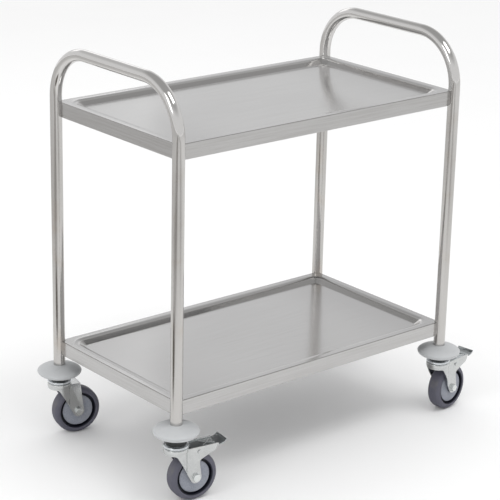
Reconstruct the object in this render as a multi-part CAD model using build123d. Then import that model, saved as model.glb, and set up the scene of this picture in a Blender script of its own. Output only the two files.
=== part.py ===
from build123d import *
import math
import os

# A two-shelf cart on four swivel casters. Millimetres, +Z up, the floor at Z = 0.
# +X runs along the long side, -Y is the front. The origin is on the floor, under the middle
# of the cart's outline. The casters trail towards +X, so the legs stand a little to the left.
LEGS_MIDDLE_X = -30.0

# Hoops: one bent tube makes a handle and the two legs below it
LEG_SPAN_X = 740.0
LEG_SPAN_Y = 412.0
HOOP_AXIS_HEIGHT = 857.0
BEND_RADIUS = 105.0
TUBE_RADIUS = 12.5
TUBE_WALL = 1.2
TUBE_FOOT_HEIGHT = 158.0

# Trays: folded sheet with a skirt, a flat rim and a sunk floor
UPPER_TRAY_TOP = 744.0
LOWER_TRAY_TOP = 216.0
SHEET = 1.0
TRAY_SET_IN = 1.0
TRAY_LENGTH = LEG_SPAN_X - 2 * TRAY_SET_IN
TRAY_WIDTH = LEG_SPAN_Y - 2 * TRAY_SET_IN
SKIRT_HEIGHT = 32.0
SKIRT_RETURN = 9.0
SKIRT_EDGE_RADIUS = 1.6
RIM_WIDTH = 18.5
SLOPE_WIDTH = 17.5
FLOOR_DEPTH = 10.5
RIM_CORNER_RADIUS = 28.0
NOTCH_RADIUS = TUBE_RADIUS + 0.1

# Stiffener: a hat section welded under each floor
HAT_LENGTH = 620.0
HAT_HALF_WIDTH = 42.0
HAT_HALF_TOP = 26.0
HAT_HALF_BASE = 22.0
HAT_HEIGHT = 15.0

# Corner fastening: bolt, saddle and rivet nut on the diagonal of each corner
BOLT_BELOW_TRAY_TOP = 16.0
BOLT_RADIUS = 2.95
BOLT_CLEARANCE_RADIUS = 3.2
BOLT_HEAD_RADIUS = 5.77
BOLT_HEAD_HEIGHT = 4.0
BOLT_START = 3.0
SADDLE_REACH = 20.0
SADDLE_HALF_WIDTH = 7.8
SADDLE_HEIGHT = 22.0
RIVET_NUT_RADIUS = 4.5
RIVET_NUT_BORE = 3.0
RIVET_NUT_START = 2.0
RIVET_NUT_END = 11.6

# Leg foot: bumper, plug, stem and seal
BUMPER_RADIUS = 47.5
BUMPER_WIDEST_HEIGHT = 147.5
BUMPER_TOP = 162.0
BUMPER_BASE = 136.0
BUMPER_BASE_RADIUS = 28.0
PLUG_LENGTH = 31.0
STEM_RADIUS = 6.0
STEM_FOOT = 104.0
STEM_TOP = 190.0
STEM_BORE = 6.05
SEAL_RADIUS = 21.5
SEAL_BASE = 128.0
CAP_RADIUS = 26.5
CAP_BASE = 121.5
KINGPIN_NUT_RADIUS = 11.0
KINGPIN_NUT_BASE = 105.0
KINGPIN_NUT_TOP = 115.2

# Caster: u runs back from the swivel axis along the trail, v across, the wheel behind
WHEEL_RADIUS = 52.0
TRAIL = 36.0
TYRE_HALF_WIDTH = 16.0
TYRE_SHOULDER = 9.5
RIM_RADIUS = 39.0
COVER_RADIUS = 34.2
HUB_RADIUS = 12.0
BUSH_RADIUS = 8.0
BUSH_BORE = 6.05
BUSH_FLANGE_RADIUS = 9.5
BUSH_START = 4.0
BUSH_END = 16.5
HUB_HALF_WIDTH = 15.0
WEB_HALF_WIDTH = 3.0
RIM_INNER_RADIUS = 30.0
RIM_HALF_WIDTH = 9.5
GROOVE_HALF_WIDTH = 6.0
COVER_EDGE_FACE = 12.3
COVER_HUB_FACE = 13.7
COVER_THICKNESS = 1.8
SLEEVE_RADIUS = 6.0
SLEEVE_BORE = 4.1
AXLE_RADIUS = 4.0
AXLE_HOLE = 4.05
AXLE_HEX_RADIUS = 8.6
AXLE_HEAD_HEIGHT = 5.3
AXLE_NUT_HEIGHT = 6.5
AXLE_TAIL = 2.0

# Fork: pressed steel, round in front and flat along the wheel
FORK_WALL = 2.5
FORK_HALF_WIDTH = 19.5
FORK_FRONT_RADIUS = 25.0
FORK_EYE_RADIUS = 12.5
FORK_TOP = 118.0
FORK_FRONT_EDGE = (-27.0, 108.5)
FORK_BROW = (-10.0, 108.5)
FORK_THROAT = (4.7, 83.0)
FORK_HEEL = (43.5, 88.0)
FORK_CORNER_RADIUS = 8.0
FORK_PLATE_END = 40.0
BRAKE_CHEEK = [(64.0, 97.5), (81.0, 104.0), (88.0, FORK_TOP)]
CROWN_RADIUS = 26.2
CROWN_TOP = 121.0
CROWN_BASE = 112.0
CROWN_PLATE_BASE = 115.5
CROWN_BORE = 6.08
BALL_RADIUS = 2.3
BALL_CIRCLE_RADIUS = 20.0
BALL_HEIGHT = 120.8
BALL_COUNT = 14
CROWN_GROOVE_RADIUS = 2.35
CAP_GROOVE_RADIUS = 2.65

# Brake: a pedal on a pin through both cheeks of the fork
PIN_U = 44.0
PIN_HEIGHT = 107.0
PIN_RADIUS = 3.0
PIN_HEAD_RADIUS = 4.5
PIN_HEAD_HEIGHT = 1.7
PIN_HOLE = 3.08
PEDAL_START = 28.0
PEDAL_MIDDLE_HEIGHT = 114.7
PEDAL_THICKNESS = 2.2
PEDAL_HALF_WIDTH = 16.2
PEDAL_EAR_RADIUS = 5.5
TAB_START = 89.5
TAB_BEND_START = 92.0
TAB_BEND_RADIUS = 16.25
TAB_BEND_ANGLE = 59.0
TAB_HALF_WIDTH = 20.0
SHOE_FRONT = 58.0
SHOE_BACK = 72.0
SHOE_HALF_WIDTH = 12.0
SHOE_GAP = 5.0
SHOE_FOOT = 85.0
RIB_MIDDLE = 70.0
RIB_LENGTH = 34.0
RIB_WIDTH = 3.2
RIB_HEIGHT = 1.4
RIB_TURN = 38.0
LEAF_HALF_WIDTH = 6.0
LEAF_THICKNESS = 0.8

# Where each caster stands and the way it trails, in degrees from +X
HALF_X = LEG_SPAN_X / 2
HALF_Y = LEG_SPAN_Y / 2
CORNERS = {
    "front_left": (-1, -1),
    "front_right": (1, -1),
    "rear_left": (-1, 1),
    "rear_right": (1, 1),
}
HEADINGS = {"front_left": -9.0, "front_right": 8.0, "rear_left": -13.0, "rear_right": -10.0}
BRAKED = ("front_left", "front_right")

# How far a bumper stands above its usual place, on a seal that is as much taller
BUMPER_LIFTS = {"front_left": 8.0, "front_right": 0.0, "rear_left": 0.0, "rear_right": 0.0}


def outline(*corners):
    """Face inside a closed outline; each corner is across, up and its rounding radius."""
    points = [corner[:2] for corner in corners]
    radii = [corner[2] if len(corner) > 2 else 0 for corner in corners]
    return make_face(FilletPolyline(*points, radius=radii, close=True))


def turned(face):
    """Solid turned about Z from a face drawn with radius across and height up."""
    return revolve(Plane.XZ * face, Axis.Z)


def across(face, half_width):
    """Solid of a side view, height up, that reaches half_width to each side."""
    return extrude(Plane.XZ * face, half_width, both=True)


def ring(inner, outer, base, top):
    """Plain turned ring."""
    return turned(outline((inner, base), (outer, base), (outer, top), (inner, top)))


def leg_point(corner):
    """Plan position of a leg."""
    side_x, side_y = CORNERS[corner]
    return LEGS_MIDDLE_X + side_x * HALF_X, side_y * HALF_Y


def at_legs(solid):
    """A copy of a turned part on the axis of each leg."""
    return [Pos(*leg_point(corner), 0) * solid for corner in CORNERS]


def at_corner_bolts(solid, tray_top):
    """A copy on each corner's bolt: X points from the leg's axis to the middle of the tray."""
    copies = []
    for corner, (side_x, side_y) in CORNERS.items():
        turn = math.degrees(math.atan2(-side_y, -side_x))
        place = Pos(*leg_point(corner), tray_top - BOLT_BELOW_TRAY_TOP)
        copies.append(place * Rot(0, 0, turn) * solid)
    return copies


def rod_along_x(radius, start, end):
    """Round rod along X."""
    return Pos(start, 0, 0) * extrude(Plane.YZ * Circle(radius), end - start)


# ---- frame and trays ----


def hoop(side_x):
    """Inverted U of round tube with a hole at each bolt for its rivet nut."""
    foot = (-HALF_Y, TUBE_FOOT_HEIGHT)
    points = [foot, (-HALF_Y, HOOP_AXIS_HEIGHT), (HALF_Y, HOOP_AXIS_HEIGHT)]
    points.append((HALF_Y, TUBE_FOOT_HEIGHT))
    leg_x = LEGS_MIDDLE_X + side_x * HALF_X
    route = Plane.YZ.offset(leg_x) * FilletPolyline(*points, radius=BEND_RADIUS)
    section = Circle(TUBE_RADIUS) - Circle(TUBE_RADIUS - TUBE_WALL)
    tube = sweep(Pos(leg_x, -HALF_Y, TUBE_FOOT_HEIGHT) * section, path=route)
    hole = rod_along_x(RIVET_NUT_RADIUS + 0.05, TUBE_RADIUS / 2, TUBE_RADIUS + 1)
    for tray_top in (UPPER_TRAY_TOP, LOWER_TRAY_TOP):
        for cutter in at_corner_bolts(hole, tray_top):
            tube -= cutter
    return tube


def tray_well(tray_top, grow):
    """The sunk middle of a tray, or with grow its underside, one sheet thickness out."""
    slope = math.atan2(FLOOR_DEPTH, SLOPE_WIDTH)
    spread = grow * math.tan(slope / 2)
    corner = RIM_CORNER_RADIUS + spread
    sections = []
    for inset, depth in ((RIM_WIDTH, 0), (RIM_WIDTH + SLOPE_WIDTH, FLOOR_DEPTH)):
        length = TRAY_LENGTH - 2 * (inset - spread)
        width = TRAY_WIDTH - 2 * (inset - spread)
        radius = corner - (inset - RIM_WIDTH)
        place = Pos(LEGS_MIDDLE_X, 0, tray_top - depth - grow)
        sections.append(place * RectangleRounded(length, width, radius))
    return loft(sections, ruled=True)


def tray_block(inset, notch_radius, low, high):
    """Block with the tray's plan, set in by inset and notched round the legs."""
    plan = Pos(LEGS_MIDDLE_X, 0) * Rectangle(TRAY_LENGTH - 2 * inset, TRAY_WIDTH - 2 * inset)
    for corner in CORNERS:
        plan -= Pos(*leg_point(corner)) * Circle(notch_radius)
    return Pos(0, 0, low) * extrude(plan, high - low)


def tray(tray_top):
    """Folded tray: skirt with a return at its foot, flat rim and sunk floor."""
    foot = tray_top - SKIRT_HEIGHT
    block = tray_block(0, NOTCH_RADIUS, foot, tray_top)
    rim_edges = block.edges().group_by(Axis.Z)[-1].filter_by(GeomType.LINE)
    block = fillet(rim_edges, SKIRT_EDGE_RADIUS)
    wall = NOTCH_RADIUS + SHEET
    inside = tray_block(SHEET, wall, foot + SHEET, tray_top - SHEET)
    mouth = tray_block(SKIRT_RETURN, NOTCH_RADIUS + SKIRT_RETURN, foot, foot + SHEET)
    hollow = inside - tray_well(tray_top, SHEET)
    folded = block - tray_well(tray_top, 0) - hollow - mouth
    hole = rod_along_x(BOLT_CLEARANCE_RADIUS, TUBE_RADIUS / 2, SADDLE_REACH)
    for cutter in at_corner_bolts(hole, tray_top):
        folded -= cutter
    return folded


def stiffener(tray_top):
    """Hat section under a tray's floor, along X."""
    half = [
        (HAT_HALF_WIDTH, 0),
        (HAT_HALF_WIDTH, -SHEET),
        (HAT_HALF_TOP + SHEET, -SHEET),
        (HAT_HALF_BASE + SHEET, -HAT_HEIGHT),
    ]
    inner = [(HAT_HALF_BASE, SHEET - HAT_HEIGHT), (HAT_HALF_TOP, 0)]
    mirrored = [(-across_, up) for across_, up in reversed(half)]
    inner_left = [(-across_, up) for across_, up in inner]
    face = make_face(Polyline(*half, *mirrored, *reversed(inner_left), *inner, close=True))
    underside = tray_top - FLOOR_DEPTH - SHEET
    return Pos(LEGS_MIDDLE_X, 0, underside) * extrude(Plane.YZ * face, HAT_LENGTH / 2, both=True)


def corner_saddle():
    """Block that seats the flat bolt head on the round inside of a notch."""
    reach = SADDLE_REACH / 2
    saddle = Pos(reach + reach / 2, 0, 0) * Box(reach, 2 * SADDLE_HALF_WIDTH, SADDLE_HEIGHT)
    saddle -= Cylinder(NOTCH_RADIUS + SHEET + 0.05, SADDLE_HEIGHT)
    return saddle - rod_along_x(BOLT_CLEARANCE_RADIUS, 0, SADDLE_REACH)


def tray_bolt():
    """Hexagon bolt along X."""
    head = extrude(Plane.YZ * RegularPolygon(BOLT_HEAD_RADIUS, 6), BOLT_HEAD_HEIGHT)
    return rod_along_x(BOLT_RADIUS, BOLT_START, SADDLE_REACH) + Pos(SADDLE_REACH, 0, 0) * head


def rivet_nut():
    """Threaded insert set in the leg's wall."""
    body = rod_along_x(RIVET_NUT_RADIUS, RIVET_NUT_START, RIVET_NUT_END)
    return body - rod_along_x(RIVET_NUT_BORE, RIVET_NUT_START, RIVET_NUT_END)


# ---- leg foot ----


def bumper(lift):
    """Domed disc that the tube stands in and the caster's stem runs through."""
    socket = TUBE_RADIUS + 0.1
    bore = STEM_RADIUS + 0.5
    top_height = BUMPER_TOP + lift
    widest_height = BUMPER_WIDEST_HEIGHT + lift
    base_height = BUMPER_BASE + lift
    top = Spline(
        (socket, top_height),
        (30.0, top_height - 3.1),
        (42.0, top_height - 8.6),
        (BUMPER_RADIUS, widest_height),
        tangents=[(1, -0.12), (0, -1)],
    )
    under = Spline(
        (BUMPER_RADIUS, widest_height),
        (43.0, base_height + 4.6),
        (BUMPER_BASE_RADIUS, base_height),
        tangents=[(0, -1), (-1, -0.12)],
    )
    inside = Polyline(
        (BUMPER_BASE_RADIUS, base_height),
        (bore, base_height),
        (bore, TUBE_FOOT_HEIGHT),
        (socket, TUBE_FOOT_HEIGHT),
        (socket, top_height),
    )
    return turned(make_face(top + under + inside))


def leg_plug():
    """Threaded plug pressed into the foot of the tube."""
    top = TUBE_FOOT_HEIGHT + PLUG_LENGTH
    return ring(STEM_BORE, TUBE_RADIUS - TUBE_WALL - 0.05, TUBE_FOOT_HEIGHT, top)


def caster_stem():
    """Threaded stem, which is the swivel's kingpin too."""
    return ring(0, STEM_RADIUS, STEM_FOOT, STEM_TOP)


def kingpin_nut():
    """Hexagon nut that holds the fork's crown up to the balls."""
    height = KINGPIN_NUT_TOP - KINGPIN_NUT_BASE
    nut = extrude(RegularPolygon(KINGPIN_NUT_RADIUS, 6) - Circle(STEM_BORE), height)
    return Pos(0, 0, KINGPIN_NUT_BASE) * nut


def swivel_seal(lift):
    """Black ring between the bumper and the cap."""
    return ring(STEM_RADIUS + 2, SEAL_RADIUS, SEAL_BASE, BUMPER_BASE + lift)


def swivel_cap():
    """Fixed upper race, a pressed cap over the balls."""
    cap = turned(
        outline(
            (STEM_BORE, CAP_BASE),
            (CAP_RADIUS, CAP_BASE, 0.6),
            (CAP_RADIUS, SEAL_BASE, 3.5),
            (STEM_BORE, SEAL_BASE),
        )
    )
    return cap - Pos(0, 0, BALL_HEIGHT) * Torus(BALL_CIRCLE_RADIUS, CAP_GROOVE_RADIUS)


# ---- caster, in its own u, v and height ----


def fork_plan(half_width, front_radius, back):
    """Round in front about the swivel axis, straight sides behind."""
    return Circle(front_radius) + Pos(back / 2, 0) * Rectangle(back, 2 * half_width)


def fork_side(braked):
    """Side view: from the crown down to the eye, with cheeks behind on a braked fork."""
    rear = BRAKE_CHEEK if braked else [(FORK_PLATE_END, FORK_TOP)]
    front_top = (FORK_FRONT_EDGE[0], FORK_TOP)
    front = Polyline(front_top, FORK_FRONT_EDGE, FORK_BROW, FORK_THROAT)
    upper = make_face(front + Polyline(FORK_THROAT, FORK_HEEL, *rear, front_top))
    eye = Pos(TRAIL, WHEEL_RADIUS) * Circle(FORK_EYE_RADIUS)
    leg = make_hull(eye.edges() + Line(FORK_THROAT, FORK_HEEL).edges())
    side = upper + leg
    hollows = [side.vertices().sort_by_distance(point)[0] for point in (FORK_BROW, FORK_HEEL)]
    return fillet(hollows, FORK_CORNER_RADIUS)


def fork(braked):
    """Pressed fork: two legs, a round front skirt and the crown with its ball groove."""
    back = BRAKE_CHEEK[-1][0] if braked else FORK_PLATE_END + FORK_EYE_RADIUS
    outer = fork_plan(FORK_HALF_WIDTH, FORK_FRONT_RADIUS, back)
    inner_front = FORK_FRONT_RADIUS - FORK_WALL
    inner = fork_plan(FORK_HALF_WIDTH - FORK_WALL, inner_front, back + FORK_WALL)
    shell = extrude(outer - inner, FORK_TOP)
    body = shell & across(fork_side(braked), FORK_FRONT_RADIUS + 1)
    if not braked:
        plan = fork_plan(FORK_HALF_WIDTH, FORK_FRONT_RADIUS, FORK_PLATE_END)
        plate = extrude(plan, FORK_TOP - CROWN_PLATE_BASE)
        body += Pos(0, 0, CROWN_PLATE_BASE) * plate
    body += turned(
        outline(
            (0, CROWN_PLATE_BASE),
            (inner_front, CROWN_PLATE_BASE),
            (inner_front, CROWN_BASE),
            (CROWN_RADIUS, CROWN_BASE, 1.2),
            (CROWN_RADIUS, CROWN_TOP, 2.5),
            (0, CROWN_TOP),
        )
    )
    body -= Cylinder(CROWN_BORE, 4 * CROWN_TOP)
    body -= Pos(0, 0, BALL_HEIGHT) * Torus(BALL_CIRCLE_RADIUS, CROWN_GROOVE_RADIUS)
    body -= across(Pos(TRAIL, WHEEL_RADIUS) * Circle(AXLE_HOLE), FORK_FRONT_RADIUS)
    if braked:
        body -= across(Pos(PIN_U, PIN_HEIGHT) * Circle(PIN_HOLE), FORK_FRONT_RADIUS)
        slot_height = CROWN_PLATE_BASE - CROWN_BASE
        slot = Box(CROWN_RADIUS, 2 * LEAF_HALF_WIDTH + 3, slot_height)
        body -= Pos(CROWN_RADIUS, 0, CROWN_BASE + slot_height / 2) * slot
    return body


def swivel_balls():
    """Ring of loose balls under the cap."""
    return PolarLocations(BALL_CIRCLE_RADIUS, BALL_COUNT) * (Pos(0, 0, BALL_HEIGHT) * Sphere(BALL_RADIUS))


def on_axle(solid):
    """Put a part turned about Z on the wheel's axle, +Z to the near side."""
    return Pos(TRAIL, 0, WHEEL_RADIUS) * Rot(90, 0, 0) * solid


def both_sides(solid):
    """The solid and its mirror image on the wheel's other side."""
    return [on_axle(solid), on_axle(mirror(solid, Plane.XY))]


def axle_bolt():
    """Hexagon bolt and its nut."""
    tail = FORK_HALF_WIDTH + AXLE_NUT_HEIGHT + AXLE_TAIL
    head = Pos(0, 0, FORK_HALF_WIDTH) * extrude(RegularPolygon(AXLE_HEX_RADIUS, 6), AXLE_HEAD_HEIGHT)
    shank = ring(0, AXLE_RADIUS, -tail, FORK_HALF_WIDTH)
    nut_face = RegularPolygon(AXLE_HEX_RADIUS, 6) - Circle(AXLE_HOLE)
    nut = Pos(0, 0, -FORK_HALF_WIDTH) * extrude(nut_face, -AXLE_NUT_HEIGHT)
    return [on_axle(shank + head), on_axle(nut)]


def axle_sleeve():
    """Spacer that the bushes turn on, clamped between the fork's legs."""
    half = FORK_HALF_WIDTH - FORK_WALL - 0.1
    return on_axle(ring(SLEEVE_BORE, SLEEVE_RADIUS, -half, half))


def tyre():
    """Rubber tread with rounded shoulders."""
    seat = TYRE_HALF_WIDTH - 2
    face = outline(
        (RIM_RADIUS, -seat),
        (RIM_RADIUS + 2.5, -TYRE_HALF_WIDTH, 1.5),
        (WHEEL_RADIUS, -TYRE_HALF_WIDTH, TYRE_SHOULDER),
        (WHEEL_RADIUS, TYRE_HALF_WIDTH, TYRE_SHOULDER),
        (RIM_RADIUS + 2.5, TYRE_HALF_WIDTH, 1.5),
        (RIM_RADIUS, seat),
    )
    return on_axle(turned(face))


def wheel_core():
    """Hub, web and rim in one moulding, with a groove beside the tyre."""
    bore = BUSH_RADIUS + 0.02
    rim = RIM_RADIUS - 0.03
    cover_edge = COVER_RADIUS + 0.1
    half = [
        (bore, HUB_HALF_WIDTH),
        (HUB_RADIUS, HUB_HALF_WIDTH),
        (HUB_RADIUS, WEB_HALF_WIDTH),
        (RIM_INNER_RADIUS, WEB_HALF_WIDTH),
        (RIM_INNER_RADIUS, RIM_HALF_WIDTH),
        (cover_edge, RIM_HALF_WIDTH),
        (cover_edge, GROOVE_HALF_WIDTH),
        (rim, GROOVE_HALF_WIDTH),
    ]
    other = [(radius, -height) for radius, height in reversed(half)]
    return on_axle(turned(make_face(Polyline(*half, *other, close=True))))


def hub_covers():
    """Thin dished disc snapped over each side of the core."""
    hole = HUB_RADIUS + 0.1
    step = RIM_INNER_RADIUS - 0.1
    foot = RIM_HALF_WIDTH + 0.1
    cover = turned(
        outline(
            (hole, COVER_HUB_FACE - COVER_THICKNESS),
            (step, COVER_EDGE_FACE - 0.7 * COVER_THICKNESS),
            (step, foot),
            (COVER_RADIUS, foot),
            (COVER_RADIUS, COVER_EDGE_FACE, 1.2),
            (hole, COVER_HUB_FACE),
        )
    )
    return both_sides(cover)


def wheel_bushes():
    """Flanged plain bush in each end of the hub."""
    bush = turned(
        outline(
            (BUSH_BORE, BUSH_START),
            (BUSH_RADIUS, BUSH_START),
            (BUSH_RADIUS, HUB_HALF_WIDTH),
            (BUSH_FLANGE_RADIUS, HUB_HALF_WIDTH),
            (BUSH_FLANGE_RADIUS, BUSH_END),
            (BUSH_BORE, BUSH_END),
        )
    )
    return both_sides(bush)


def brake_pedal():
    """Pressed pedal: plate between the cheeks, ears on the pin, shoe below, tab behind."""
    half_sheet = PEDAL_THICKNESS / 2
    low = PEDAL_MIDDLE_HEIGHT - half_sheet
    high = PEDAL_MIDDLE_HEIGHT + half_sheet
    plate = outline((PEDAL_START, low), (TAB_START, low), (TAB_START, high), (PEDAL_START, high))
    pedal = across(plate, PEDAL_HALF_WIDTH)

    bend_start = (TAB_BEND_START, PEDAL_MIDDLE_HEIGHT)
    flat = Line((TAB_START, PEDAL_MIDDLE_HEIGHT), bend_start)
    bend = JernArc(bend_start, (1, 0), TAB_BEND_RADIUS, TAB_BEND_ANGLE)
    pedal += across(trace(flat + bend, PEDAL_THICKNESS), TAB_HALF_WIDTH)

    eye = Pos(PIN_U, PIN_HEIGHT) * Circle(PEDAL_EAR_RADIUS)
    ear = make_hull(eye.edges() + Line((PIN_U - 9, low + 1), (PIN_U + 12, low + 1)).edges())
    ears = across(ear - Pos(PIN_U, PIN_HEIGHT) * Circle(PIN_HOLE), PEDAL_HALF_WIDTH)
    pedal += ears - across(ear, PEDAL_HALF_WIDTH - 2)

    foot = SHOE_FOOT
    block = outline((SHOE_FRONT, foot), (SHOE_BACK, foot), (SHOE_BACK, low + 1), (SHOE_FRONT, low + 1))
    sweep_circle = Pos(TRAIL, WHEEL_RADIUS) * Circle(WHEEL_RADIUS + SHOE_GAP)
    pedal += across(block - sweep_circle, SHOE_HALF_WIDTH)

    for turn in (-RIB_TURN, RIB_TURN):
        pedal += Pos(RIB_MIDDLE, 0, high) * Rot(0, 0, turn) * Box(RIB_LENGTH, RIB_WIDTH, RIB_HEIGHT)
    return pedal


def brake_pin():
    """Rivet that the pedal turns on, through both cheeks."""
    half = FORK_HALF_WIDTH + PIN_HEAD_HEIGHT
    pin = ring(0, PIN_RADIUS, -half, half)
    pin += ring(0, PIN_HEAD_RADIUS, FORK_HALF_WIDTH, half)
    pin += ring(0, PIN_HEAD_RADIUS, -half, -FORK_HALF_WIDTH)
    return Pos(PIN_U, 0, PIN_HEIGHT) * Rot(90, 0, 0) * pin


def brake_spring():
    """Leaf spring under the crown that bears on the pedal's nose."""
    root = CROWN_PLATE_BASE - 0.1
    tip = PEDAL_MIDDLE_HEIGHT - PEDAL_THICKNESS / 2 - 0.5
    face = outline(
        (15.0, root - LEAF_THICKNESS),
        (21.0, root - LEAF_THICKNESS),
        (25.0, tip - LEAF_THICKNESS),
        (38.0, tip - LEAF_THICKNESS),
        (38.0, tip),
        (25.5, tip),
        (21.5, root),
        (15.0, root),
    )
    return across(face, LEAF_HALF_WIDTH)


# ---- writing the parts ----


def save(node, *solids):
    """One STEP file per node; like pieces of one node stay separate solids."""
    flat = []
    for item in solids:
        flat.extend(item.solids())
    shape = flat[0] if len(flat) == 1 else Compound(flat)
    export_step(shape, f"parts/{node}.step")


def save_frame():
    """Hoops, trays and what fastens them."""
    save("left_hoop", hoop(-1))
    save("right_hoop", hoop(1))
    for shelf, tray_top in (("upper", UPPER_TRAY_TOP), ("lower", LOWER_TRAY_TOP)):
        save(f"{shelf}_tray", tray(tray_top))
        save(f"{shelf}_stiffener", stiffener(tray_top))
        save(f"{shelf}_corner_saddles", *at_corner_bolts(corner_saddle(), tray_top))
        save(f"{shelf}_tray_bolts", *at_corner_bolts(tray_bolt(), tray_top))
        save(f"{shelf}_rivet_nuts", *at_corner_bolts(rivet_nut(), tray_top))


def save_leg_feet():
    """What each leg ends in, down to the fixed half of the swivel."""
    seals = []
    for corner, lift in BUMPER_LIFTS.items():
        leg_axis = Pos(*leg_point(corner), 0)
        save(f"{corner}_bumper", leg_axis * bumper(lift))
        seals.append(leg_axis * swivel_seal(lift))
    save("swivel_seals", *seals)
    save("leg_plugs", *at_legs(leg_plug()))
    save("caster_stems", *at_legs(caster_stem()))
    save("kingpin_nuts", *at_legs(kingpin_nut()))
    save("swivel_caps", *at_legs(swivel_cap()))


def save_caster(corner):
    """Everything that swivels at one corner."""
    place = Pos(*leg_point(corner), 0) * Rot(0, 0, HEADINGS[corner])
    braked = corner in BRAKED
    pieces = {
        "fork": [fork(braked)],
        "swivel_balls": list(swivel_balls()),
        "axle_bolt": axle_bolt(),
        "axle_sleeve": [axle_sleeve()],
        "tyre": [tyre()],
        "wheel_core": [wheel_core()],
        "hub_covers": hub_covers(),
        "wheel_bushes": wheel_bushes(),
    }
    if braked:
        pieces["brake_pedal"] = [brake_pedal()]
        pieces["brake_pin"] = [brake_pin()]
        pieces["brake_spring"] = [brake_spring()]
    for name, solids in pieces.items():
        save(f"{corner}_{name}", *[place * solid for solid in solids])


os.makedirs("parts", exist_ok=True)
save_frame()
save_leg_feet()
for corner_name in CORNERS:
    save_caster(corner_name)
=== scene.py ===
import math
import bmesh
import bpy
import numpy as np
from mathutils import Matrix, Vector


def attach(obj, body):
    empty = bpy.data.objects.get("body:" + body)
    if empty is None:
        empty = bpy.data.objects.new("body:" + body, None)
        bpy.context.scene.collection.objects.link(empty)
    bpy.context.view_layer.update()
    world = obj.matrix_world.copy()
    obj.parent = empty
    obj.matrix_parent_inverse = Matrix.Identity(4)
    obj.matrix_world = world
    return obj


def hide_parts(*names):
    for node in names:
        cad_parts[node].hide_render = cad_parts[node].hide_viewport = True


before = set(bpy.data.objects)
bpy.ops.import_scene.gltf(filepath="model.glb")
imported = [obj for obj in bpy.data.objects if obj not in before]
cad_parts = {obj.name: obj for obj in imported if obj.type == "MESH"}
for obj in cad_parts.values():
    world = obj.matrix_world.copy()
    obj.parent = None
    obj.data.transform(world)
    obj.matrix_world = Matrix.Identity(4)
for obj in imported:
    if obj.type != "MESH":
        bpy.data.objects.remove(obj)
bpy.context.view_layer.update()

# ---- Camera ----
# It stands in front of the cart's left end, well above the handles, with a long lens, and leans
# very slightly to one side.
CAMERA_PLACE = (-2.4277, -2.8266, 1.6784)
CAMERA_HEADING = math.radians(40.13)
CAMERA_DOWN = math.radians(19.0)
CAMERA_LEAN = math.radians(1.30)
CAMERA_LENS = 131.26

forward = Vector((
    math.sin(CAMERA_HEADING) * math.cos(CAMERA_DOWN),
    math.cos(CAMERA_HEADING) * math.cos(CAMERA_DOWN),
    -math.sin(CAMERA_DOWN),
))
level = Vector((math.cos(CAMERA_HEADING), -math.sin(CAMERA_HEADING), 0.0))
upright = level.cross(forward)
camera_right = math.cos(CAMERA_LEAN) * level + math.sin(CAMERA_LEAN) * upright
camera_up = math.cos(CAMERA_LEAN) * upright - math.sin(CAMERA_LEAN) * level
camera = bpy.data.objects.new("camera", bpy.data.cameras.new("camera"))
camera.data.lens = CAMERA_LENS
camera.data.sensor_width = 36.0
camera.data.clip_start = 0.1
camera.data.clip_end = 100.0
camera.matrix_world = Matrix((camera_right, camera_up, -forward)).transposed().to_4x4()
camera.location = CAMERA_PLACE
bpy.context.scene.collection.objects.link(camera)
bpy.context.scene.camera = camera
bpy.context.scene.view_settings.view_transform = "Standard"


# ---- Studio floor ----
# A pale sweep of matt paper, far larger than the cart. Black cloth, thin in places, lies on it
# at the cart's left and in a wide ring round it: painted reflection, for only gloss sees the cloth,
# so that bright metal has something dark to mirror. Under the cart it is a painted shadow of the
# cart.
class Wire:
    """An output of a shader node. Python's operators add the Math nodes they stand for."""

    def __init__(self, finish, output):
        self.finish = finish
        self.output = output

    def maths(self, operation, first, second=0.0):
        return self.finish.node("ShaderNodeMath", {"operation": operation}, {0: first, 1: second})

    def __add__(self, other):
        return self.maths("ADD", self, other)

    def __sub__(self, other):
        return self.maths("SUBTRACT", self, other)

    def __mul__(self, other):
        return self.maths("MULTIPLY", self, other)

    def __pow__(self, other):
        return self.maths("POWER", self, other)

    def __rsub__(self, other):
        return self.maths("SUBTRACT", other, self)

    __radd__ = __add__
    __rmul__ = __mul__

    def __abs__(self):
        return self.maths("ABSOLUTE", self)

    def between(self, low, high):
        """Smooth step: 0 below low, 1 above high."""
        settings = {"interpolation_type": "SMOOTHSTEP"}
        return self.finish.node("ShaderNodeMapRange", settings, {0: self, 1: low, 2: high})


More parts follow.
